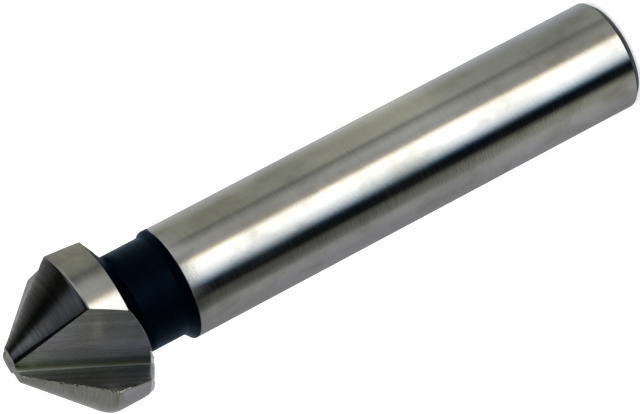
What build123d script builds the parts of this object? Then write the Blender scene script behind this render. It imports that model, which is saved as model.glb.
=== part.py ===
from build123d import *
import os
from math import atan2, cos, hypot, radians, sin, tan

# A three-flute 90 degree countersink, made from one bar of high speed steel.
# It stands on the end of its shank: the origin is the centre of the shank's end
# face, +Z runs up the axis to the cutting tip, and one cutting corner lies on +X.
# Seen from the tip it cuts turning counter-clockwise. All sizes are millimetres.

# Shank, ground parallel
overall_length = 60.0
shank_diameter = 10.0
shank_end_chamfer = 0.63

# Neck, turned below the shank before the grinding and slightly out of true with it
neck_depth = 0.5
neck_length = 3.74
shoulder_angle = 37.5
neck_fillet = 0.35
neck_runout = 0.2
neck_runout_azimuth = 144.0

# Head, ground with the shank
head_diameter = 15.0
point_angle = 90.0
tip_flat_diameter = 3.2
land_length = 3.05
back_taper_angle = 30.0

# Teeth. The cone and land of each tooth are ground about an axis set off towards
# its leading side, so that they fall away behind the cutting edge.
flute_count = 3
relief_offset = 0.1

# Flutes. Each one is a straight V with a rounded root. The root starts beside the
# axis at the tip, trails behind the cutting corner, climbs outwards towards the
# shank and leaves the head above the neck. The corner fixes the rake face, and the
# heel face dips below the tangent at the root.
root_radius = 0.3
root_height_at_tip = 0.46
root_lead = 0.36
root_trail_angle = 15.6
root_clear_of_neck = 0.95
heel_dip = 15.4

# Radii and heights that follow from the sizes above
shank_r = shank_diameter / 2
neck_r = shank_r - neck_depth
head_r = head_diameter / 2
tip_r = tip_flat_diameter / 2
back_slope = tan(radians(back_taper_angle))
z_tip = overall_length
z_corner = z_tip - (head_r - tip_r) / tan(radians(point_angle / 2))
z_land_end = z_corner - land_length
z_neck_top = z_land_end - (head_r - neck_r) * back_slope
z_neck_bottom = z_neck_top - neck_length
pitch = 360 / flute_count


def turned(*outline):
    """A solid of revolution about Z from the corners of its half section.
    Its seam lies towards the neck's runout, so that the seams of all the turned faces meet."""
    solid = revolve(make_face(Plane.XZ * Polyline(*outline, close=True)), Axis.Z)
    return Rot(0, 0, neck_runout_azimuth) * solid


def off_axis(shape, distance, azimuth):
    """The shape moved sideways off the ground axis, towards an azimuth in degrees."""
    return Pos(distance * cos(radians(azimuth)), distance * sin(radians(azimuth)), 0) * shape


def ground_shank():
    """The parallel shank with its end chamfer, running up into the head."""
    return turned(
        (0, 0),
        (shank_r - shank_end_chamfer, 0),
        (shank_r, shank_end_chamfer),
        (shank_r, z_land_end),
        (0, z_land_end),
    )


def neck_groove():
    """The ring turned away round the neck, with the sloping shoulder towards the shank."""
    reach = head_diameter
    drop = (reach - neck_r) / tan(radians(shoulder_angle))
    ring = turned(
        (neck_r, z_neck_bottom),
        (reach, z_neck_bottom - drop),
        (reach, z_land_end),
        (neck_r, z_land_end),
    )
    return off_axis(ring, neck_runout, neck_runout_azimuth)


def head_blank():
    """Front and back limits of the head: flat tip, full height, and the back taper to a point."""
    return turned(
        (0, z_land_end - head_r * back_slope),
        (head_diameter, z_land_end + head_r * back_slope),
        (head_diameter, z_tip),
        (0, z_tip),
    )


def relieved_tooth(azimuth):
    """Cone and land of one tooth, as far as the middle of the flutes on its two sides."""
    form_r = hypot(head_r, relief_offset)
    form = turned(
        (0, 0),
        (form_r, 0),
        (form_r, z_corner),
        (tip_r, z_tip),
        (0, z_tip),
    )
    lead_share, reach = 0.3, 2 * head_diameter
    sides = [radians(azimuth + pitch * (lead_share - share)) for share in (0, 0.5, 1)]
    rim = [(reach * cos(side), reach * sin(side)) for side in sides]
    sector = extrude(make_face(Polyline((0, 0), *rim, close=True)), overall_length)
    return off_axis(form, relief_offset, azimuth + 90) & sector


def flute(azimuth):
    """The V that the grinding wheel takes out in front of the cutting corner at this azimuth."""
    root_exit_r = neck_r + root_clear_of_neck
    z_exit = z_land_end - (head_r - root_exit_r) * back_slope
    root_slope = atan2(root_exit_r - root_height_at_tip, z_tip - z_exit)

    trail = radians(azimuth - root_trail_angle)
    outward = Vector(cos(trail), sin(trail), 0)
    ahead = Vector(-sin(trail), cos(trail), 0)
    start = outward * root_height_at_tip + ahead * root_lead + Vector(0, 0, z_tip)
    along = outward * sin(root_slope) - Vector(0, 0, cos(root_slope))
    wheel_plane = Plane(origin=start, x_dir=ahead, z_dir=along)

    corner = Vector(head_r * cos(radians(azimuth)), head_r * sin(radians(azimuth)), z_corner)
    to_corner = wheel_plane.to_local_coords(corner)
    rake_lean = atan2(to_corner.X, to_corner.Y)
    depth = head_diameter
    rake = (depth * sin(rake_lean), depth * cos(rake_lean))
    heel = (depth * cos(radians(heel_dip)), -depth * sin(radians(heel_dip)))
    outer = (rake[0] + heel[0], rake[1] + heel[1])
    wheel = make_face(Polyline((0, 0), heel, outer, rake, close=True))
    root_corner = wheel.vertices().sort_by_distance((0, 0, 0))[0]
    wheel = fillet(root_corner, root_radius)
    run_in, run_out = head_r, (z_tip - z_neck_bottom) / cos(root_slope)
    return extrude(wheel_plane.offset(-run_in) * wheel, run_in + run_out)


azimuths = [pitch * index for index in range(flute_count)]
teeth = [relieved_tooth(azimuth) for azimuth in azimuths]
head = head_blank() & (teeth[0] + teeth[1:])
countersink = (ground_shank() - neck_groove()) + head

ring_edges = countersink.edges().filter_by(GeomType.LINE, reverse=True)
neck_to_head = ring_edges.filter_by_position(Axis.Z, z_neck_top - neck_runout, z_neck_top + neck_runout)
countersink = fillet(neck_to_head, neck_fillet)
for azimuth in azimuths:
    countersink -= flute(azimuth)
countersink.label = "countersink_bit"

os.makedirs("parts", exist_ok=True)
export_step(countersink, "parts/countersink_bit.step")
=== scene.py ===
from math import atan2, cos, pi, radians, sin, tan

import bmesh
import bpy
import numpy as np
from mathutils import Matrix, Vector


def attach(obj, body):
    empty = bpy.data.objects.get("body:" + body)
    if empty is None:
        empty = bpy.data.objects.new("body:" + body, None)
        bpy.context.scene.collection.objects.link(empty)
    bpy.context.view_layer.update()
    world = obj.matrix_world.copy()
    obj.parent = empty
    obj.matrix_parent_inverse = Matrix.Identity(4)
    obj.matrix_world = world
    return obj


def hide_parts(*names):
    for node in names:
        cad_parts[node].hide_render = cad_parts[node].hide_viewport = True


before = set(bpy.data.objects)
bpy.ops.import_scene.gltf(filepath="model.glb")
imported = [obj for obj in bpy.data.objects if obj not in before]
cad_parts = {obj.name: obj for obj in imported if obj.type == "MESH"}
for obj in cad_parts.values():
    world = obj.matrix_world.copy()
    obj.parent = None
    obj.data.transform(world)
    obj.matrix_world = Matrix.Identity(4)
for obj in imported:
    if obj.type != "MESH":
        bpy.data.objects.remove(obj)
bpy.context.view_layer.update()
mm = 0.001

# Countersink bit: one bar of high speed steel, standing on its shank's end.
# It is turned, blackened in heat treatment, then ground bright on the shank and
# the head; a V wheel cuts the three flutes last. Nothing is fitted to it.

# Sizes in millimetres, as the solid has them
overall_length = 60.0
shank_r = 5.0
shank_end_chamfer = 0.63
neck_r = 4.5
neck_fillet = 0.35
neck_runout = 0.2
neck_runout_azimuth = 144.0
head_r = 7.5
tip_r = 1.6
land_length = 3.05
back_taper_angle = 30.0
root_height_at_tip = 0.46
root_lead = 0.36
root_trail_angle = 15.6
root_clear_of_neck = 0.95
heel_dip = 15.4

z_tip = overall_length
z_corner = z_tip - (head_r - tip_r)
z_land_end = z_corner - land_length
back_slope = tan(radians(back_taper_angle))

# Edge breaks that the wheel leaves behind the flanks (wider at the tip), behind the
# lands and at the back
tip_flank_break, flank_break, land_break, back_break = 0.28, 0.1, 0.04, 0.1

# The three teeth from +X round. The first is worn: its land falls away more, its rake
# stands a little further ahead, and its outer corner is well rounded. The flute in
# front of the second is cut narrower. The third's flank rises a little behind its
# edge, where the first two fall away, and it is worn at the tip
flank_relief_at_tip = (0.27, 0.46, -0.18)
flank_relief_at_corner = (0.03, 0.2, -0.1)
land_relief = (0.28, 0.1, 0.1)
end_relief = (0.06, 0.0, 0.0)
corner_round = (0.62, 0.16, 0.06)
rake_lead = (2.8, 0.0, 0.0)
corner_wear = (0.26, 0.0, 0.0)
tip_wear = (0.0, 0.0, 0.24)
heel_stock = (0.0, 0.3, 0.0)

# The flutes' roots are a little rounder here than in the solid, and the ground
# surfaces stay a hair inside it
visual_root_radius = 0.45
inset = 0.003

# How finely each tooth and flute is divided, round the tool
arc_points, rake_points, root_points, heel_points = 44, 14, 6, 22
sector_points = arc_points + rake_points + root_points + heel_points
ring_points = 3 * sector_points


def turned_by(points, degrees):
    """Points turned about the tool's axis."""
    c, s = cos(radians(degrees)), sin(radians(degrees))
    points = np.asarray(points, float)
    out = points.copy()
    out[..., 0] = c * points[..., 0] - s * points[..., 1]
    out[..., 1] = s * points[..., 0] + c * points[..., 1]
    return out


# The flute in front of the tooth whose cutting corner lies on +X: its root line
# and the plane of the wheel that cuts it. The other flutes are this one turned
trail = radians(-root_trail_angle)
outward = np.array([cos(trail), sin(trail), 0.0])
ahead = np.array([-sin(trail), cos(trail), 0.0])
root_exit_r = neck_r + root_clear_of_neck
z_root_exit = z_land_end - (head_r - root_exit_r) * back_slope
root_slope = atan2(root_exit_r - root_height_at_tip, z_tip - z_root_exit)
flute_start = outward * root_height_at_tip + ahead * root_lead + np.array([0, 0, z_tip])
along = outward * sin(root_slope) - np.array([0, 0, cos(root_slope)])
wheel_up = np.cross(along, ahead)
heel_way = np.array([cos(radians(heel_dip)), -sin(radians(heel_dip))])
root_shares = (np.arange(root_points) + 1) / (root_points + 1)


def wheel_profile(lead, stock):
    """The V in the wheel's plane: the way up the rake, the feet of both flanks, and the root."""
    corner = turned_by([head_r, 0, z_corner], lead) - flute_start
    lean = atan2(corner @ ahead, corner @ wheel_up)
    rake_way = np.array([sin(lean), cos(lean)])
    out_of_heel = np.array([-heel_way[1], heel_way[0]])
    point = rake_way * stock / (rake_way @ out_of_heel)
    half_opening = 0.5 * np.arccos(rake_way @ heel_way)
    to_foot = visual_root_radius / tan(half_opening)
    middle = (rake_way + heel_way) / np.linalg.norm(rake_way + heel_way)
    centre = middle * visual_root_radius / sin(half_opening)
    first, last = rake_way * to_foot - centre, heel_way * to_foot - centre
    start_angle = atan2(first[1], first[0])
    sweep = (atan2(last[1], last[0]) - start_angle + pi) % (2 * pi) - pi
    angles = start_angle + sweep * root_shares
    root = centre + visual_root_radius * np.stack([np.cos(angles), np.sin(angles)], -1)
    return {"rake_way": rake_way, "rake_foot": point + rake_way * to_foot,
            "heel_foot": point + heel_way * to_foot, "root": point + root}


wheels = [wheel_profile(lead, stock) for lead, stock in zip(rake_lead, heel_stock)]


def at_level(profile, z):
    """Where the lines that the profile's points sweep out pass a height."""
    profile = np.asarray(profile, float)
    base = flute_start + profile[..., :1] * ahead + profile[..., 1:] * wheel_up
    reach = (base[..., 2] - z) / cos(root_slope)
    return base + reach[..., None] * along


def circle_radius(offset, radius, angle):
    """Distance from the tool's axis to a circle whose centre is offset towards +Y."""
    return offset * np.sin(angle) + np.sqrt(radius**2 - (offset * np.cos(angle)) ** 2)


# Where a land starts to fall away more above its end, and within what height
end_relief_start, end_relief_reach = 0.55, 0.5
# A corner's rounding is narrower by this share at the cutting edge, and widens behind it
edge_narrowing, widening_angle = 0.6, radians(9)
# How far down from the tip and back from the edge the tip is worn
tip_wear_height, tip_wear_angle = 0.7, radians(50)


def land_radius(tooth, angle, z):
    """The land of a tooth whose corner is at angle 0; it falls away behind the corner."""
    share = np.clip((z_land_end + end_relief_start - z) / end_relief_reach, 0, 1)
    offset = land_relief[tooth] + end_relief[tooth] * share**2 * (3 - 2 * share)
    return np.minimum(circle_radius(offset, np.hypot(head_r - inset, offset), angle), head_r - inset)


def tooth_radius(tooth, angle, z):
    """The tooth's own form: its cone flank, its land and the rounded corner between them."""
    land = land_radius(tooth, angle, z)
    offset = np.interp(z, [z_corner, z_tip], [flank_relief_at_corner[tooth], flank_relief_at_tip[tooth]])
    flank = circle_radius(offset, np.hypot(tip_r - inset + z_tip - z, offset), angle)
    width = corner_round[tooth] * (1 - edge_narrowing * np.exp(np.minimum(angle, 0) / widening_angle))
    rounding = np.maximum(width - np.abs(land - flank), 0)
    near_tip = np.clip(1 - (z_tip - z) / tip_wear_height, 0, 1) ** 2
    worn_off = tip_wear[tooth] * (near_tip * np.clip(1 + angle / tip_wear_angle, 0, 1))
    return np.minimum(land, flank) - rounding**2 / (4 * width) - worn_off


def corner_height(tooth, angle):
    """Height at which the tooth's flank meets its land."""
    land = land_radius(tooth, angle, z_corner)
    at_edge = np.sqrt(land * (land - 2 * flank_relief_at_corner[tooth] * np.sin(angle)))
    return z_tip - (at_edge - tip_r + inset)


sway_reach = 1.6


def ring_height(tooth, angle, level):
    """Height of a ring at a tooth: level rings sway with the corner where they come near it."""
    near = np.clip(1 - abs(level - z_corner) / sway_reach, 0, 1)
    return level + near * (corner_height(tooth, angle) - z_corner)


def edge_place(flute, tooth, foot, way, level, trim=0.0):
    """Where one flank of a flute leaves a tooth's form: how far up it, at what height and angle."""
    turn = 120 * (tooth - flute)
    # Angle and height depend on each other, and settle within a few rounds
    angle, settling_rounds = 0.0, 8
    for _ in range(settling_rounds):
        z = ring_height(tooth, angle, level)
        radius = tooth_radius(tooth, angle, z) - trim
        near, step = at_level(foot, z)[:2], at_level(foot + way, z)[:2] - at_level(foot, z)[:2]
        a, b, c = step @ step, near @ step, near @ near - radius**2
        up = (-b + np.sqrt(b * b - a * c)) / a
        x, y = near + up * step
        angle = (atan2(y, x) - radians(turn) + pi) % (2 * pi) - pi
    return up, z, angle


# The rake's height at the corner, and where and within what height its wear lies
worn_rake_height, corner_wear_rise, corner_wear_reach = 5, 0.2, 0.55


def rake_way_at(tooth, level):
    """The way up the rake at a level; a worn corner leans back."""
    off_centre = (level - z_corner - corner_wear_rise) / corner_wear_reach
    lean = -corner_wear[tooth] / worn_rake_height * np.exp(-(off_centre**2))
    x, y = wheels[tooth]["rake_way"]
    return np.array([x * cos(lean) + y * sin(lean), y * cos(lean) - x * sin(lean)])


def cutting_edge(tooth, level, trim=0.0):
    """The edge at a tooth's front, on the rake of its own flute."""
    rake_foot = wheels[tooth]["rake_foot"]
    return edge_place(tooth, tooth, rake_foot, rake_way_at(tooth, level), level, trim)


def heel_edge(tooth, level, trim=0.0):
    """The edge at a tooth's back, cut by the flute behind it."""
    flute = (tooth + 2) % 3
    return edge_place(flute, tooth, wheels[flute]["heel_foot"], heel_way, level, trim)


def edge_break(level):
    """Width of the edge break behind a tooth; it changes over between land and flank."""
    change = 0.1
    return np.interp(level, [z_corner - change, z_corner + change, z_tip],
                     [land_break, flank_break, tip_flank_break])


edge_step = 0.09


def flute_points(flute, level, trim=0.0):
    """The flute's profile from its cutting edge to the next tooth's heel, with each point's height."""
    wheel = wheels[flute]
    rake_end, rake_z, _ = cutting_edge(flute, level, trim)
    heel_end, heel_z, _ = heel_edge((flute + 1) % 3, level, trim)
    rake_u = np.concatenate([[rake_end], np.linspace(rake_end - edge_step, 0, rake_points - 1)])
    heel_u = np.linspace(0, heel_end - edge_break(level), heel_points)
    worn_away = rake_end * (rake_way_at(flute, level) - wheel["rake_way"])
    # Wear bends only the outermost part of the rake
    outermost = (rake_u / rake_end)[:, None] ** 5
    rake = wheel["rake_foot"] + rake_u[:, None] * wheel["rake_way"] + outermost * worn_away
    heel = wheel["heel_foot"] + heel_u[:, None] * heel_way
    profile = np.concatenate([rake, wheel["root"], heel])
    return profile, np.linspace(rake_z, heel_z, len(profile))


# The last points before a cutting edge stand close together, for its burr and chips
fine_reach, fine_steps = 0.3, np.array([0.21, 0.14, 0.07])


def tooth_arc(tooth, level, trim=0.0):
    """The tooth's own surface at a level, from its heel break to just before its cutting edge."""
    front, back = cutting_edge(tooth, level, trim)[2], heel_edge(tooth, level, trim)[2]
    radius = tooth_radius(tooth, front, ring_height(tooth, front, level))
    fine = fine_steps / radius
    start, stop = back + edge_break(level) / radius, front - fine_reach / radius
    angles = np.concatenate([np.linspace(start, stop, arc_points - len(fine)), front - fine])
    z = ring_height(tooth, angles, level)
    radius = tooth_radius(tooth, angles, z) - trim
    return np.stack([radius * np.cos(angles), radius * np.sin(angles), z], -1)


def head_ring(level, trim=0.0):
    """The whole section of the head at a level, with the radii less the trim."""
    parts = []
    for k in range(3):
        sweep = at_level(*flute_points(k, level, trim))
        parts.append(turned_by(np.concatenate([tooth_arc(k, level, trim), sweep]), 120 * k))
    return np.concatenate(parts)


def back_cone_z(r):
    """Height of the taper behind the head at a distance from the axis."""
    return z_land_end - (head_r - r) * back_slope


def leaves_back_cone(profile):
    """The swept profile points where they run out through the taper behind the head."""
    search_below, search_above, halvings = 3.0, 2.0, 50
    low = np.full(len(profile), z_land_end - search_below)
    high = np.full(len(profile), z_land_end + search_above)
    for _ in range(halvings):
        z = (low + high) / 2
        p = at_level(profile, z)
        outside = back_cone_z(np.hypot(p[:, 0], p[:, 1])) > z
        low, high = np.where(outside, z, low), np.where(outside, high, z)
    return at_level(profile, (low + high) / 2)


rings, bands = [], []


def add_ring(points, band):
    """Puts the next ring under the last one; band names the faces between the two."""
    rings.append(np.asarray(points, float))
    bands.append(band)


# Head, from the flat on the tip down its cone flanks and lands; the rings stand
# closer together round the corner
tip_drop, tip_trim, tip_break = 0.001, 0.03, 0.05
above_corner, at_corner, below_corner = 0.5, 0.04, 0.65
flank_rings, upper_rings, lower_rings, land_rings = 106, 9, 10, 22
add_ring(head_ring(z_tip - tip_drop, tip_trim), "tip")
levels = np.concatenate([
    np.linspace(z_tip - tip_break, z_corner + above_corner, flank_rings),
    np.linspace(z_corner + above_corner, z_corner + at_corner, upper_rings)[1:],
    np.linspace(z_corner - at_corner, z_corner - below_corner, lower_rings),
    np.linspace(z_corner - below_corner, z_land_end + 1.4 * back_break, land_rings)[1:],
])
for above, level in zip([z_tip, *levels], levels):
    if level == levels[0]:
        band = "tip break"
    elif level > z_corner:
        band = "flank"
    else:
        band = "corner break" if above > z_corner else "land"
    add_ring(head_ring(level), band)

# The run-out of lands and flutes through the back taper. Round the worn tooth the
# wheel has drawn the edge out into a thin lip
before, at_exit, lip_way = [], [], []
for k in range(3):
    arc = tooth_arc(k, z_land_end + back_break)
    profile = flute_points(k, z_land_end + 0.5 * back_break, 0.5 * back_break)[0]
    leaving = leaves_back_cone(profile)
    before.append(turned_by(np.concatenate([arc, leaving - back_break * along]), 120 * k))
    lower_arc = arc - np.array([0, 0, 0.9 * back_break])
    at_exit.append(turned_by(np.concatenate([lower_arc, leaving]), 120 * k))
    inward = -arc * (1, 1, 0) / np.hypot(arc[:, :1], arc[:, 1:2])
    rake_side = np.tile([0.0, -1.0, 0.0], (rake_points, 1))
    heel_side = np.tile([-1.0, 0.0, 0.0], (root_points + heel_points, 1))
    lip_way.append(turned_by(np.concatenate([0.5 * inward, rake_side, heel_side]), 120 * k))
add_ring(np.concatenate(before), "land")
exit_ring, lip_way = np.concatenate(at_exit), np.concatenate(lip_way)
exit_row = len(rings)
add_ring(exit_ring, "run-out")
exit_angle = np.unwrap(np.arctan2(exit_ring[:, 1], exit_ring[:, 0]))
exit_radius = np.minimum(np.hypot(exit_ring[:, 0], exit_ring[:, 1]), head_r)
bearing = (np.degrees(exit_angle) + 180) % 360 - 180
root_end = arc_points + rake_points + root_points
# The lip's height at bearings behind the land, from the edge to the root, and
# at bearings along the heel face
lip_on_land = ([-24, -20, -10, -4, 0], [0, 0.29, 0.25, 0.17, 0.15])
lip_to_root = (0.15, 0.24)
lip_on_heel = ([-15, -8, 0, 9], [0.26, 0.2, 0.06, 0])
lip_foot, lip_splay, rim_step = 0.03, 0.1, 0.07
lip = np.zeros(ring_points)
lip[:arc_points] = np.interp(bearing[:arc_points], *lip_on_land)
lip[arc_points:root_end] = np.linspace(*lip_to_root, rake_points + root_points)
lip[root_end:sector_points] = np.interp(bearing[root_end:sector_points], *lip_on_heel)
lip_ring = exit_ring + lip_way * (lip_foot + lip_splay * lip)[:, None]
lip_ring[:, 2] -= lip_foot + lip
add_ring(lip_ring, "back break")
lip_angle = np.unwrap(np.arctan2(lip_ring[:, 1], lip_ring[:, 0]))
exit_angle = lip_angle + 2 * pi * np.round((exit_angle[0] - lip_angle[0]) / (2 * pi))
exit_radius = np.minimum(np.hypot(lip_ring[:, 0], lip_ring[:, 1]), exit_radius) - rim_step


def on_back_cone(angle, radius):
    """Points on the taper behind the head."""
    return np.stack([radius * np.cos(angle), radius * np.sin(angle), back_cone_z(radius)], -1)


add_ring(on_back_cone(exit_angle, exit_radius), "back rim")

# Back taper, closing in on the neck: the ring's points fan out evenly again
fan = radians(9)
marks = np.array([0, arc_points, arc_points + rake_points, root_end])
fan_back = np.array([0, -fan, -0.2 * fan, 0.1 * fan])
mark_columns = np.concatenate([marks + k * sector_points for k in range(3)])
mark_angles = exit_angle[mark_columns] + np.tile(fan_back, 3)
column_angle = np.interp(np.arange(ring_points), [*mark_columns, ring_points],
                         [*mark_angles, mark_angles[0] + 2 * pi])
even_angle = column_angle[0] + 2 * pi * np.arange(ring_points) / ring_points
runout_angle = radians(neck_runout_azimuth)


def neck_radius(angle):
    """How far the neck's surface lies from the ground axis; the neck runs out of true."""
    away = angle - runout_angle
    return neck_runout * np.cos(away) + np.sqrt(neck_r**2 - (neck_runout * np.sin(away)) ** 2)


def ring_of(angle, radius, z):
    """A ring of points at these angles; radius and height are one number or one for each."""
    radius, z = radius + 0 * angle, z + 0 * angle
    return np.stack([radius * np.cos(angle), radius * np.sin(angle), z], -1)


neck_to_taper = 90 + back_taper_angle
fillet_tangent = neck_fillet / tan(radians(neck_to_taper / 2))
fillet_r = neck_radius(column_angle) + fillet_tangent * cos(radians(back_taper_angle))
for share in np.linspace(0, 1, 8)[1:]:
    angle = exit_angle + share * (column_angle - exit_angle)
    radius = exit_radius + share * (fillet_r - exit_radius)
    add_ring(on_back_cone(angle, radius), "back taper")

# Neck, turned and blackened, with its fillet under the head and a small one at the shoulder
for turn in np.radians(np.linspace(neck_to_taper, 180, 8)[1:]):
    near = neck_radius(column_angle)
    radius = near + neck_fillet + neck_fillet * cos(turn)
    z = back_cone_z(near) - fillet_tangent + neck_fillet * sin(turn)
    add_ring(ring_of(column_angle, radius, z), "neck")
foot_z, foot_fillet = 45.46, 0.12
foot_turn = radians(45)
foot_tangent = foot_fillet * tan(foot_turn / 2)
z_neck_top_ring = rings[-1][:, 2]
for share in np.linspace(0, 1, 10)[1:]:
    angle = column_angle + share * (even_angle - column_angle)
    z = z_neck_top_ring + share * (foot_z + foot_tangent - z_neck_top_ring)
    add_ring(ring_of(angle, neck_radius(angle), z), "neck")
for turn in np.linspace(0, foot_turn, 6)[1:]:
    radius = neck_radius(even_angle) + foot_fillet * (1 - cos(turn))
    z = foot_z + foot_tangent - foot_fillet * sin(turn)
    add_ring(ring_of(even_angle, radius, z), "neck")

# Shoulder down to its rim. On the neck's high side the grinding wheel only just
# reaches the rim, and leaves a rounded black lip there
rim_lip_azimuth, rim_lip_reach = 155, 26
rim_side = np.degrees((even_angle - radians(rim_lip_azimuth) + pi) % (2 * pi) - pi)
high_side = np.exp(-((rim_side / rim_lip_reach) ** 4))
rim_break = 0.03 + 0.06 * high_side
rim_z = 44.84 + 0.2 * high_side
last = rings[-1]
last_r = np.hypot(last[:, 0], last[:, 1])
for share in np.linspace(0, 1, 7)[1:]:
    radius = last_r + share * (shank_r - rim_break - last_r)
    z = last[:, 2] + share * (rim_z + rim_break - last[:, 2])
    add_ring(ring_of(even_angle, radius, z), "neck")
lip_rise, lip_hang = 0.03 * high_side, 0.15 * high_side
for turn in np.radians((25, 50, 70)):
    radius = shank_r + lip_rise - rim_break * (1 - sin(turn))
    z = rim_z + rim_break * cos(turn) - lip_hang * sin(turn)
    add_ring(ring_of(even_angle, radius, z), "neck")
bright_z = 44.77 - 0.4 * high_side
add_ring(ring_of(even_angle, shank_r + lip_rise, bright_z + 0.03), "neck")
add_ring(ring_of(even_angle, shank_r - 0.01, bright_z), "neck")
add_ring(ring_of(even_angle, shank_r - inset, bright_z - 0.07), "rim edge")

# Shank, ground parallel, with the chamfer on its end and that chamfer's own edge breaks
chamfer_break = 0.03
z_shank_top = rings[-1][:, 2]
for share in np.linspace(0, 1, 26)[1:]:
    z = z_shank_top + share * (shank_end_chamfer + chamfer_break - z_shank_top)
    add_ring(ring_of(even_angle, shank_r - inset, z), "shank")
chamfer_foot_r = shank_r - shank_end_chamfer
add_ring(ring_of(even_angle, shank_r - chamfer_break, shank_end_chamfer - chamfer_break), "end chamfer")
add_ring(ring_of(even_angle, chamfer_foot_r + chamfer_break, chamfer_break), "end chamfer")
add_ring(ring_of(even_angle, chamfer_foot_r - chamfer_break, 0), "end chamfer")
for radius in (3.2, 2.0, 0.9):
    add_ring(ring_of(even_angle, radius, 0), "end")

# Wear: a ragged burr along the worn tooth's cutting edge, and a faint one on the others
wear = np.random.default_rng(15)
burr_height, chip_depth, edge_grit = 0.08, 0.36, 0.05
chip_rows = 5 * np.arange(40)
spared_tip, spared_share = 0.5, 0.3
pulled_in, behind_edge, further_behind = 0.4, 0.7, 0.3
head_rings = [i for i, band in enumerate(bands) if band in ("flank", "corner break", "land")]
for tooth, raggedness in enumerate((1.0, 0.15, 0.2)):
    chips = np.interp(np.arange(len(head_rings)), chip_rows, wear.uniform(0, 1, len(chip_rows))) ** 2
    fine = wear.uniform(-1, 1, len(head_rings))
    ragged = (burr_height - chip_depth * chips + edge_grit * fine) * raggedness
    edge = tooth * sector_points + arc_points
    facing = radians(120 * tooth)
    across = np.array([-sin(facing), cos(facing), 0])
    out = np.array([cos(facing), sin(facing), 0])
    for shift, i in zip(ragged, head_rings):
        if bands[i] != "flank" or rings[i][edge, 2] > z_tip - spared_tip:
            shift *= spared_share
        rings[i][edge] += across * shift + out * min(0, shift) * pulled_in
        rings[i][edge - 1] += across * shift * behind_edge
        rings[i][edge - 2] += across * shift * further_behind

# One closed skin from the rings, with a flat cap at each end
bit_mesh = bpy.data.meshes.new("countersink_bit_steel")
skin = bmesh.new()
rows = [[skin.verts.new(Vector(p) * mm) for p in ring] for ring in rings]
ground, relief_ground, flute_ground, blackened, faced, burred, torn, end_blackened = range(8)
finish_of = {
    "tip": faced, "tip break": relief_ground, "flank": relief_ground,
    "corner break": ground, "land": ground, "run-out": ground, "back break": ground,
    "back rim": blackened, "back taper": blackened, "neck": blackened,
    "rim edge": ground, "shank": ground, "end chamfer": end_blackened, "end": end_blackened,
}
grain = skin.loops.layers.uv.new("grain")
grain_width = 15.0
column_kind = (["arc"] * arc_points + ["rake"] * rake_points + ["root"] * root_points
               + ["heel"] * (heel_points - 1) + ["heel break"])


def grain_place(point, tooth, kind):
    """Where a point lies along its flute and across it, in millimetres, for the wheel's lines."""
    local = turned_by(np.array(point) / mm, -120 * tooth) - flute_start
    way = wheels[tooth]["rake_way"] if kind == "rake" else heel_way
    flank_place = way[0] * (local @ ahead) + way[1] * (local @ wheel_up)
    beside = grain_width if kind == "rake" else 0
    return local @ along, flank_place + 2 * grain_width * tooth + beside


for i in range(1, len(rings)):
    band = bands[i]
    in_head = band in ("tip break", "flank", "corner break", "land", "run-out")
    for j in range(ring_points):
        k = (j + 1) % ring_points
        face = skin.faces.new((rows[i - 1][j], rows[i][j], rows[i][k], rows[i - 1][k]))
        face.smooth = True
        tooth, column = divmod(j, sector_points)
        kind = column_kind[column]
        face.material_index = finish_of[band]
        if in_head and kind in ("rake", "root", "heel"):
            face.material_index = flute_ground
            for loop in face.loops:
                loop[grain].uv = grain_place(loop.vert.co, tooth, kind)
        if band in ("run-out", "back break") and lip[j] > 0.05:
            face.material_index = torn
        elif in_head and tooth == 0 and arc_points - 2 <= column < arc_points:
            face.material_index = burred
        elif band == "back break" and kind != "arc":
            face.material_index = burred
cap = skin.faces.new(rows[0])
cap.material_index = finish_of["tip"]
foot = skin.faces.new(list(reversed(rows[-1])))
foot.material_index = finish_of["end"]
skin.to_mesh(bit_mesh)
skin.free()
bit_mesh.set_sharp_from_angle(angle=radians(22))
for edge in bit_mesh.edges:
    if all(corner // ring_points == exit_row for corner in edge.vertices):
        edge.use_edge_sharp = True
bit = bpy.data.objects.new("countersink_bit_steel", bit_mesh)
bpy.context.collection.objects.link(bit)
even_shading = bit.modifiers.new("flat faces shade flat", "WEIGHTED_NORMAL")
even_shading.keep_sharp = True
even_shading.weight = 100


def add_node(tree, kind, inputs=(), **settings):
    """A node with its settings; inputs are socket names with values or the sockets that feed them."""
    made = tree.nodes.new(kind)
    for key, value in settings.items():
        setattr(made, key, value)
    for key, value in dict(inputs).items():
        if isinstance(value, bpy.types.NodeSocket):
            tree.links.new(value, made.inputs[key])
        else:
            made.inputs[key].default_value = value
    return made


def ramp(tree, source, stops, interpolation="LINEAR"):
    """A colour ramp through (place, colour) stops; a plain number is a grey."""
    made = add_node(tree, "ShaderNodeValToRGB", {"Fac": source})
    made.color_ramp.interpolation = interpolation
    elements = made.color_ramp.elements
    while len(elements) > 1:
        elements.remove(elements[-1])
    for index, (place, colour) in enumerate(stops):
        element = elements[0] if index == 0 else elements.new(place)
        element.position = place
        element.color = (*([colour] * 3), 1) if isinstance(colour, (int, float)) else (*colour, 1)
    return made.outputs["Color"]


def noise(tree, vector, scale, detail=3, roughness=0.55):
    """Noise on a stretched vector; scale is the count of features per metre along x, y and z."""
    stretched = add_node(tree, "ShaderNodeVectorMath", {0: vector, 1: scale}, operation="MULTIPLY")
    made = add_node(tree, "ShaderNodeTexNoise", {"Vector": stretched.outputs[0], "Scale": 1.0,
                                                  "Detail": detail, "Roughness": roughness})
    return made.outputs["Fac"]


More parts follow.
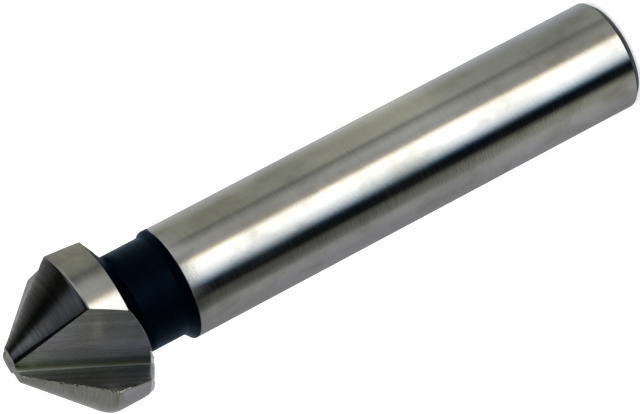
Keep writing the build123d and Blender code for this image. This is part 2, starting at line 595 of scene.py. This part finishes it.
def scaled(tree, source, low, high, top_low=0.0, top_high=1.0):
    """A value carried from one range to another, held at the ends."""
    made = add_node(tree, "ShaderNodeMapRange", {"Value": source, "From Min": low, "From Max": high,
                                                  "To Min": top_low, "To Max": top_high})
    return made.outputs["Result"]


def mixed(tree, share, first, second, blend="MIX"):
    """Two colours mixed, or multiplied, by a share."""
    made = add_node(tree, "ShaderNodeMix", data_type="RGBA", blend_type=blend)
    for socket, value in ((made.inputs[0], share), (made.inputs[6], first), (made.inputs[7], second)):
        if isinstance(value, bpy.types.NodeSocket):
            tree.links.new(value, socket)
        elif isinstance(value, (int, float)):
            socket.default_value = value
        else:
            socket.default_value = (*value, 1)
    return made.outputs[2]


def steel(name, vector_of, line_scale, patch_scale, colours, roughness, line_depth, line_shade, stretch,
          stains_and_painted_light=None, strokes=None):
    """Bare steel with the wheel's lines; the lines are noise drawn out along the cut."""
    material = bpy.data.materials.new(name)
    material.use_nodes = True
    tree = material.node_tree
    shader = tree.nodes["Principled BSDF"]
    vector, tangent = vector_of(tree)
    lines = noise(tree, vector, line_scale, 4, 0.6)
    patches = noise(tree, vector, patch_scale, 3, 0.5)
    colour = mixed(tree, scaled(tree, patches, 0.4, 0.64), colours[0], colours[1])
    # Stains, and painted light and shade, multiply the colour
    if stains_and_painted_light:
        colour = mixed(tree, 1.0, colour, stains_and_painted_light(tree, vector), "MULTIPLY")
    shade = ramp(tree, lines, [(0.3, line_shade), (0.7, 1.0)])
    tree.links.new(mixed(tree, 1.0, colour, shade, "MULTIPLY"), shader.inputs["Base Color"])
    rough = add_node(tree, "ShaderNodeMath", {
        0: scaled(tree, lines, 0.3, 0.7, roughness[0], roughness[1]),
        1: scaled(tree, patches, 0.45, 0.7, 0, 0.05)}, operation="ADD")
    tree.links.new(rough.outputs[0], shader.inputs["Roughness"])
    bump = add_node(tree, "ShaderNodeBump", {"Height": lines, "Distance": line_depth, "Strength": 1.0})
    if strokes:
        stroke_scale, stroke_depth = strokes
        bump = add_node(tree, "ShaderNodeBump", {
            "Height": noise(tree, vector, stroke_scale, 2, 0.5), "Distance": stroke_depth,
            "Strength": 1.0, "Normal": bump.outputs["Normal"]})
    tree.links.new(bump.outputs["Normal"], shader.inputs["Normal"])
    tree.links.new(tangent, shader.inputs["Tangent"])
    shader.inputs["Metallic"].default_value = 1.0
    shader.inputs["Anisotropic"].default_value = stretch
    shader.inputs["Anisotropic Rotation"].default_value = 0.25
    return material


def round_the_axis(tree):
    """Object coordinates, and the way round the tool's axis."""
    place = add_node(tree, "ShaderNodeTexCoord").outputs["Object"]
    tangent = add_node(tree, "ShaderNodeTangent", direction_type="RADIAL", axis="Z")
    return place, tangent.outputs["Tangent"]


def along_the_flute(tree):
    """The flute's own coordinates in millimetres, along and across the wheel's lines."""
    place = add_node(tree, "ShaderNodeUVMap", uv_map="grain").outputs["UV"]
    tangent = add_node(tree, "ShaderNodeTangent", direction_type="UV_MAP", uv_map="grain")
    return place, tangent.outputs["Tangent"]


def smudges_and_painted_highlight(tree, place):
    """Smudged steel, darker round the head except on one side, which is painted lighter, and a painted
    highlight on that side halfway along the shank.
    """
    height = add_node(tree, "ShaderNodeSeparateXYZ", {0: place})
    smudges = noise(tree, place, (420, 420, 300), 3, 0.55)
    head_stain = mixed(tree, scaled(tree, smudges, 0.38, 0.6), (0.62, 0.61, 0.60), (0.86, 0.86, 0.80))
    toward_highlight_side = add_node(tree, "ShaderNodeVectorMath", {0: place, 1: (-90, 180, 0)},
                         operation="DOT_PRODUCT")
    # Painted highlight: a band halfway along the shank, on the side that faces one way, is painted
    # lighter
    painted_highlight_on_shank = add_node(tree, "ShaderNodeMath", {
        0: ramp(tree, height.outputs["Z"], [(0.014, 0), (0.019, 1), (0.026, 1), (0.031, 0)]),
        1: scaled(tree, toward_highlight_side.outputs["Value"], 0.72, 0.9)}, operation="MULTIPLY")
    thumbed = mixed(tree, scaled(tree, smudges, 0.5, 0.68), (1.03, 1.03, 1.03), (0.84, 0.84, 0.80))
    along_shank = mixed(tree, painted_highlight_on_shank.outputs[0], thumbed, (1.42, 1.42, 1.37))
    in_head = scaled(tree, height.outputs["Z"], 0.0495, 0.05)
    # Painted highlight: on the head the same side is painted lighter than the smudged rest
    painted_highlight_on_head = scaled(tree, toward_highlight_side.outputs["Value"], 0.97, 1.25)
    smudged_head_and_highlight = mixed(tree, painted_highlight_on_head, (1.1, 1.1, 1.13), head_stain)
    return mixed(tree, in_head, along_shank, smudged_head_and_highlight)


def grime_and_painted_light(tree, place):
    """Olive grime beside the root and at the cutting edge, with painted shade beside the root, a painted
    bluish reflection beside the root and up the heel face, and painted light and shade down each face.
    """
    parts_of = add_node(tree, "ShaderNodeSeparateXYZ", {0: place})
    across = add_node(tree, "ShaderNodeMath", {0: parts_of.outputs["Y"], 1: grain_width},
                      operation="PINGPONG")
    share = add_node(tree, "ShaderNodeMath", {0: across.outputs[0], 1: grain_width}, operation="DIVIDE")
    # Across the flute: olive grime, painted shade and a painted bluish reflection beside the root,
    # painted lighter up the heel face
    painted_light_across = ramp(tree, share.outputs[0], [
        (0.0, (1.3, 1.48, 1.55)), (0.007, (1.3, 1.48, 1.55)), (0.014, (0.40, 0.41, 0.27)),
        (0.045, (0.52, 0.52, 0.42)), (0.12, (0.95, 0.93, 1.03)), (0.22, (1.2, 1.18, 1.3)),
        (0.27, (1.32, 1.32, 1.4)), (0.34, (1.4, 1.42, 1.46)), (0.72, (1.0, 1.0, 0.74)),
        (0.84, (1.1, 1.12, 1.05)), (0.93, (1.3, 1.4, 1.55)), (0.965, (1.5, 1.7, 1.95)),
        (0.98, (1.3, 1.48, 1.55))])
    # Painted light and shade down the flute: each face painted lighter near the tip, the heel face
    # darker towards the run-out
    flute_length = 10.0
    down = add_node(tree, "ShaderNodeMath", {0: parts_of.outputs["X"], 1: flute_length},
                    operation="DIVIDE")
    painted_light_up_the_heel = ramp(tree, down.outputs[0], [
        (0.0, (1.6, 1.6, 1.35)), (0.3, (1.4, 1.4, 1.38)), (0.45, 1.2), (0.6, 0.96),
        (0.78, (0.72, 0.72, 0.74)), (0.97, (0.64, 0.64, 0.68))])
    painted_light_up_the_rake = ramp(tree, down.outputs[0], [
        (0.1, (1.55, 1.55, 1.4)), (0.3, (1.1, 1.1, 1.0)), (0.62, (1.15, 1.15, 1.05)), (0.78, 1.65),
        (0.97, (1.4, 1.44, 1.5))])
    on_rake = scaled(tree, share.outputs[0], 0.5, 0.53)
    return mixed(tree, 1.0, painted_light_across, mixed(tree, on_rake, painted_light_up_the_heel, painted_light_up_the_rake), "MULTIPLY")


def painted_highlight_at_tip(tree, place):
    """Painted highlight: the flank of the tooth that has cut most is painted brighter towards the tip.
    """
    height = add_node(tree, "ShaderNodeSeparateXYZ", {0: place})
    towards_edge = add_node(tree, "ShaderNodeVectorMath", {0: place, 1: (-1.2, 1, 0)},
                            operation="DOT_PRODUCT")
    near_tip = add_node(tree, "ShaderNodeMath", {
        0: scaled(tree, height.outputs["Z"], 0.0565, 0.0592),
        1: scaled(tree, towards_edge.outputs["Value"], 0.0008, 0.0022)}, operation="MULTIPLY")
    return mixed(tree, near_tip.outputs[0], (1, 1, 1), (2.0, 2.0, 2.0))


# Fine cylindrical grinding on the shank and the lands, with smudges and painted highlights
ground_steel = steel(
    "ground steel", round_the_axis, line_scale=(260, 260, 9000), patch_scale=(240, 240, 130),
    colours=((0.45, 0.45, 0.445), (0.375, 0.375, 0.36)), roughness=(0.09, 0.14),
    line_depth=0.8e-6, line_shade=0.92, stretch=0.7, stains_and_painted_light=smudges_and_painted_highlight,
    strokes=((2200, 2200, 6000), 3.2e-6),
)
# Coarser relief grinding on the cone flanks, with a painted highlight near the tip
flank_steel = steel(
    "relief ground steel", round_the_axis, line_scale=(420, 420, 7000), patch_scale=(500, 500, 500),
    colours=((0.45, 0.45, 0.44), (0.39, 0.395, 0.37)), roughness=(0.07, 0.12),
    line_depth=2.4e-6, line_shade=0.6, stretch=0.6, stains_and_painted_light=painted_highlight_at_tip,
)
# Lines of the V wheel, running the length of each flute, with grime and painted light and shade
flute_steel = steel(
    "flute ground steel", along_the_flute, line_scale=(0.05, 2.6, 1), patch_scale=(0.02, 0.8, 1),
    colours=((0.43, 0.43, 0.43), (0.34, 0.34, 0.325)), roughness=(0.2, 0.3),
    line_depth=2.5e-6, line_shade=0.6, stretch=0.6, stains_and_painted_light=grime_and_painted_light,
)


def oxide(name, thin, thick, tint, dull_colour):
    """Oxide skin on the turned steel; it mirrors only at a low angle."""
    material = bpy.data.materials.new(name)
    material.use_nodes = True
    tree = material.node_tree
    place = add_node(tree, "ShaderNodeTexCoord").outputs["Object"]
    mottle = noise(tree, place, (900, 900, 900), 4, 0.6)
    turning = noise(tree, place, (200, 200, 5000), 3, 0.6)
    shader = tree.nodes["Principled BSDF"]
    tree.links.new(mixed(tree, scaled(tree, mottle, 0.4, 0.7), thick, thin), shader.inputs["Base Color"])
    tree.links.new(scaled(tree, mottle, 0.3, 0.7, 0.3, 0.45), shader.inputs["Roughness"])
    oxide_bump = add_node(tree, "ShaderNodeBump", {"Height": turning, "Distance": 3e-6, "Strength": 1.0})
    tree.links.new(oxide_bump.outputs["Normal"], shader.inputs["Normal"])
    shader.inputs["Metallic"].default_value = 1.0
    height = add_node(tree, "ShaderNodeSeparateXYZ", {0: place})
    # Towards the head the oxide's reflection is tinted down, so it renders darker there
    duller_towards_head = scaled(tree, height.outputs["Z"], 0.0484, 0.0492)
    tree.links.new(mixed(tree, duller_towards_head, tint, (0.45, 0.5, 0.56)), shader.inputs["Specular Tint"])
    dull = add_node(tree, "ShaderNodeBsdfDiffuse", {"Color": (*dull_colour, 1)})
    both = add_node(tree, "ShaderNodeAddShader", {0: shader.outputs[0], 1: dull.outputs[0]})
    tree.links.new(both.outputs[0], tree.nodes["Material Output"].inputs["Surface"])
    return material


# Black oxide on the neck and the shoulder, faintly blue; thinner and greyer on the shank's end
black_oxide = oxide("black oxide", thin=(0.0009, 0.0032, 0.006), thick=(0.0005, 0.0016, 0.0036),
                    tint=(0.68, 0.84, 1.0), dull_colour=(0.0004, 0.0017, 0.004))
end_oxide = oxide("thin oxide", thin=(0.03, 0.033, 0.034), thick=(0.012, 0.014, 0.015),
                  tint=(0.9, 0.95, 1.0), dull_colour=(0.01, 0.011, 0.012))

# Facing marks on the flat tip
face_steel = steel(
    "faced steel", round_the_axis, line_scale=(2600, 2600, 400), patch_scale=(1100, 1100, 700),
    colours=((0.44, 0.44, 0.425), (0.27, 0.27, 0.25)), roughness=(0.3, 0.42),
    line_depth=3e-6, line_shade=0.75, stretch=0.2,
)


def matt_steel(name, colours):
    """Torn steel, rough in every direction and hardly polished."""
    material = steel(
        name, round_the_axis, line_scale=(3000, 3000, 3000), patch_scale=(900, 900, 900),
        colours=colours, roughness=(0.5, 0.6), line_depth=4e-6, line_shade=0.8, stretch=0.0,
    )
    material.node_tree.nodes["Principled BSDF"].inputs["Metallic"].default_value = 0.35
    return material


# The burr on the worn edge, and the lip behind it
burr_steel = matt_steel("burred steel", ((0.34, 0.34, 0.29), (0.22, 0.22, 0.17)))
lip_steel = matt_steel("torn lip", ((0.80, 0.80, 0.84), (0.68, 0.68, 0.70)))

# In the order in which the finishes are numbered above
for material in (ground_steel, flank_steel, flute_steel, black_oxide,
                 face_steel, burr_steel, lip_steel, end_oxide):
    bit_mesh.materials.append(material)

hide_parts("countersink_bit")
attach(bit, "root")

# Floor: a sheet of white board that the bit stands on. The camera sees it as
# plain white with the bit's soft shadow at the foot
board = bmesh.new()
board_half, board_z = 1.6, -0.00002
for x, y in ((-1, -1), (1, -1), (1, 1), (-1, 1)):
    board.verts.new((x * board_half, y * board_half, board_z))
board.faces.new(board.verts)
board_mesh = bpy.data.meshes.new("white_board")
board.to_mesh(board_mesh)
board.free()
floor = bpy.data.objects.new("white_board", board_mesh)
bpy.context.collection.objects.link(floor)
board_paint = bpy.data.materials.new("white board")
board_paint.use_nodes = True
tree = board_paint.node_tree
matt = add_node(tree, "ShaderNodeBsdfDiffuse", {"Color": (0.9, 0.9, 0.9, 1)})
plain = add_node(tree, "ShaderNodeEmission", {"Color": (1, 1, 1, 1), "Strength": 0.62})
lit = add_node(tree, "ShaderNodeAddShader", {0: matt.outputs[0], 1: plain.outputs[0]})
rays = add_node(tree, "ShaderNodeLightPath")
seen = add_node(tree, "ShaderNodeMixShader", {0: rays.outputs["Is Camera Ray"], 1: matt.outputs[0],
                                               2: lit.outputs[0]})
tree.links.new(seen.outputs[0], tree.nodes["Material Output"].inputs["Surface"])
board_mesh.materials.append(board_paint)
floor.visible_glossy = False

# Surround: a white studio. The steel mirrors soft grey walls, a low white card in
# front and the dark gaps beside and above it, and not the white that the camera sees
world = bpy.data.worlds.new("studio")
bpy.context.scene.world = world
world.use_nodes = True
tree = world.node_tree
for old in list(tree.nodes):
    tree.nodes.remove(old)
card_azimuth = 54.4
way = add_node(tree, "ShaderNodeTexCoord").outputs["Generated"]
turned_way = add_node(tree, "ShaderNodeVectorRotate", {"Vector": way, "Angle": radians(-card_azimuth)},
                      rotation_type="Z_AXIS")
parts = add_node(tree, "ShaderNodeSeparateXYZ", {0: turned_way.outputs[0]})
azimuth = add_node(tree, "ShaderNodeMath", {0: parts.outputs["Y"], 1: parts.outputs["X"]},
                   operation="ARCTAN2")
turn_share = scaled(tree, azimuth.outputs[0], -pi, pi)
# Colour of the surround at degrees round the bit, counted from the card's side: low
# on the walls, at their foot, level with the bit, and high up
low_stops = [
    (-180, (0.27, 0.27, 0.28)), (-165, (0.32, 0.32, 0.33)), (-150, (0.34, 0.34, 0.355)),
    (-135, (0.40, 0.40, 0.425)), (-115, (0.47, 0.47, 0.50)), (-98, (0.53, 0.53, 0.55)),
    (-86, (0.53, 0.53, 0.52)),
    (-78, (0.27, 0.27, 0.26)), (-68, (0.13, 0.13, 0.12)), (-58, (0.11, 0.11, 0.10)),
    (-50, (0.006, 0.008, 0.010)), (-42, (0.001, 0.003, 0.006)), (-34, (0.002, 0.008, 0.020)),
    (-30, (0.05, 0.11, 0.18)), (-24, (0.45, 0.58, 0.70)), (-15, (1.45, 1.54, 1.64)),
    (-6, (2.3, 2.34, 2.36)),
    (2, (2.9, 2.9, 2.85)), (17, (3.0, 2.92, 2.75)), (22, (2.2, 2.0, 1.6)), (27, (0.92, 0.84, 0.70)),
    (34, (0.66, 0.65, 0.61)), (48, (0.64, 0.64, 0.61)), (57, (0.44, 0.44, 0.40)),
    (65, (0.23, 0.24, 0.21)), (74, (0.46, 0.47, 0.39)), (88, (0.49, 0.50, 0.40)),
    (108, (0.50, 0.50, 0.41)), (125, (0.58, 0.59, 0.53)), (145, (0.66, 0.66, 0.64)),
    (165, (0.52, 0.53, 0.54)),
]
foot_stops = [
    (-180, (0.27, 0.27, 0.28)), (-165, (0.34, 0.34, 0.35)), (-150, (0.36, 0.36, 0.375)),
    (-135, (0.42, 0.42, 0.445)), (-115, (0.53, 0.53, 0.54)), (-98, (0.60, 0.60, 0.58)),
    (-85, (0.60, 0.60, 0.55)),
    (-74, (0.62, 0.62, 0.54)), (-65, (0.56, 0.57, 0.46)), (-58, (0.24, 0.24, 0.19)),
    (-52, (0.02, 0.023, 0.024)),
    (-44, (0.003, 0.006, 0.010)), (-36, (0.003, 0.01, 0.024)),
    (-31, (0.14, 0.22, 0.30)), (-26, (0.75, 0.95, 1.1)), (-17, (1.9, 2.0, 2.1)), (-7, (2.5, 2.55, 2.55)),
    (2, (2.9, 2.9, 2.85)), (17, (3.0, 2.92, 2.75)), (22, (2.2, 2.0, 1.6)), (28, (0.70, 0.66, 0.56)),
    (36, (0.58, 0.58, 0.53)), (48, (0.56, 0.56, 0.52)), (57, (0.46, 0.46, 0.42)),
    (66, (0.34, 0.35, 0.33)),
    (76, (0.49, 0.50, 0.45)), (90, (0.46, 0.47, 0.43)), (105, (0.44, 0.45, 0.43)),
    (120, (0.49, 0.51, 0.52)),
    (138, (0.53, 0.57, 0.62)), (155, (0.58, 0.62, 0.67)),
]
level_stops = [
    (-180, (0.42, 0.42, 0.42)), (-150, (0.40, 0.40, 0.39)), (-124, (0.34, 0.34, 0.31)),
    (-115, (0.30, 0.30, 0.28)), (-109, (0.235, 0.24, 0.255)), (-92, (0.17, 0.175, 0.18)),
    (-79, (0.08, 0.085, 0.08)),
    (-66, (0.045, 0.047, 0.035)), (-50, (0.09, 0.095, 0.08)), (-37, (0.25, 0.255, 0.23)),
    (-20, (0.28, 0.29, 0.28)),
    (-4, (0.32, 0.34, 0.34)), (12, (0.32, 0.34, 0.34)),
    (30, (0.32, 0.32, 0.33)), (45, (0.75, 0.75, 0.75)), (60, (0.9, 0.9, 0.92)), (90, (0.62, 0.63, 0.64)),
    (112, (0.5, 0.5, 0.5)), (131, (0.42, 0.43, 0.43)), (150, (0.46, 0.46, 0.46)),
    (175, (0.50, 0.50, 0.48)),
]
high_stops = [
    (-180, (0.42, 0.42, 0.41)), (-150, (0.43, 0.43, 0.40)), (-124, (0.40, 0.40, 0.36)),
    (-97, (0.06, 0.06, 0.06)), (-80, (0.004, 0.004, 0.005)), (30, (0.004, 0.004, 0.005)),
    (46, (0.05, 0.058, 0.065)), (59, (0.10, 0.115, 0.13)), (74, (0.14, 0.16, 0.18)),
    (84, (0.11, 0.125, 0.14)),
    (93, (0.010, 0.010, 0.010)), (104, (0.001, 0.001, 0.002)), (112, (0.018, 0.019, 0.016)),
    (121, (0.065, 0.067, 0.06)), (129, (0.13, 0.135, 0.135)), (136, (0.28, 0.29, 0.30)),
    (143, (0.36, 0.37, 0.38)),
    (165, (0.44, 0.44, 0.43)),
]


def ring_of_walls(stops):
    """One ring of the surround, closed by its first colour."""
    turn_stops = [((place + 180) / 360, colour) for place, colour in stops]
    return ramp(tree, turn_share, [*turn_stops, (1.0, stops[0][1])])


def risen_past(bottom, top):
    """0 below one elevation in degrees, rising to 1 at a higher one."""
    return scaled(tree, parts.outputs["Z"], sin(radians(bottom)), sin(radians(top)))


walls = mixed(tree, risen_past(-22.5, -20), ring_of_walls(foot_stops), ring_of_walls(low_stops))
walls = mixed(tree, risen_past(-15, -9), walls, ring_of_walls(level_stops))
walls = mixed(tree, risen_past(16, 27), walls, ring_of_walls(high_stops))

# Straight below, the white board's own light
glow_inner, glow_outer, glow_colour = 30, 46, (0.7, 0.7, 0.72)
downward = add_node(tree, "ShaderNodeVectorMath", {0: turned_way.outputs[0], 1: (0, 0, -1)},
                    operation="DOT_PRODUCT")
glow = add_node(tree, "ShaderNodeMapRange", {
    "Value": downward.outputs["Value"], "From Min": cos(radians(glow_outer)),
    "From Max": cos(radians(glow_inner))}, interpolation_type="SMOOTHSTEP")
surround = mixed(tree, glow.outputs["Result"], walls, glow_colour)
mirrored = add_node(tree, "ShaderNodeBackground", {"Color": surround, "Strength": 1.0})
daylight = add_node(tree, "ShaderNodeBackground", {"Color": (0.6, 0.6, 0.6, 1), "Strength": 1.0})
white = add_node(tree, "ShaderNodeBackground", {"Color": (1, 1, 1, 1), "Strength": 1.0})
rays = add_node(tree, "ShaderNodeLightPath")
gloss = add_node(tree, "ShaderNodeMath", {
    0: rays.outputs["Is Glossy Ray"], 1: rays.outputs["Is Transmission Ray"]}, operation="MAXIMUM")
unseen = add_node(tree, "ShaderNodeMixShader", {
    0: gloss.outputs[0], 1: daylight.outputs[0], 2: mirrored.outputs[0]})
whole = add_node(tree, "ShaderNodeMixShader", {
    0: rays.outputs["Is Camera Ray"], 1: unseen.outputs[0], 2: white.outputs[0]})
add_node(tree, "ShaderNodeOutputWorld", {"Surface": whole.outputs[0]})

# Lamp: one soft box overhead, for the shadow on the board
box_light = bpy.data.lights.new("soft_box", "AREA")
box_light.shape = "DISK"
box_light.size = 0.5
box_light.energy = 1.6
soft_box = bpy.data.objects.new("soft_box", box_light)
soft_box.location = (-0.15, 0.25, 0.7)
middle_of_bit = Vector((0, 0, 0.03))
soft_box.rotation_euler = (middle_of_bit - soft_box.location).to_track_quat("-Z", "Y").to_euler()
bpy.context.collection.objects.link(soft_box)
soft_box.visible_glossy = False

# Camera: looks at the bit from the side and from a little above its tip, rolled
# so that the bit lies across the picture with the tip at the lower left
picture_width, focal_pixels, sensor_width = 640, 4502.888816, 36.0
camera_data = bpy.data.cameras.new("camera")
camera_data.sensor_width = sensor_width
camera_data.lens = sensor_width * focal_pixels / picture_width
camera_data.clip_start = 0.01
camera = bpy.data.objects.new("camera", camera_data)
right = Vector((0.54306, -0.04266, -0.83861))
up = Vector((-0.63312, 0.63523, -0.44231))
forward = Vector((-0.55158, -0.77114, -0.31796))
camera_place = Vector((209.50, 292.63, 150.62)) * mm
pose = Matrix((right, up, -forward)).transposed().to_4x4()
pose.translation = camera_place
camera.matrix_world = pose
bpy.context.collection.objects.link(camera)
bpy.context.scene.camera = camera
bpy.context.scene.view_settings.view_transform = "Standard"
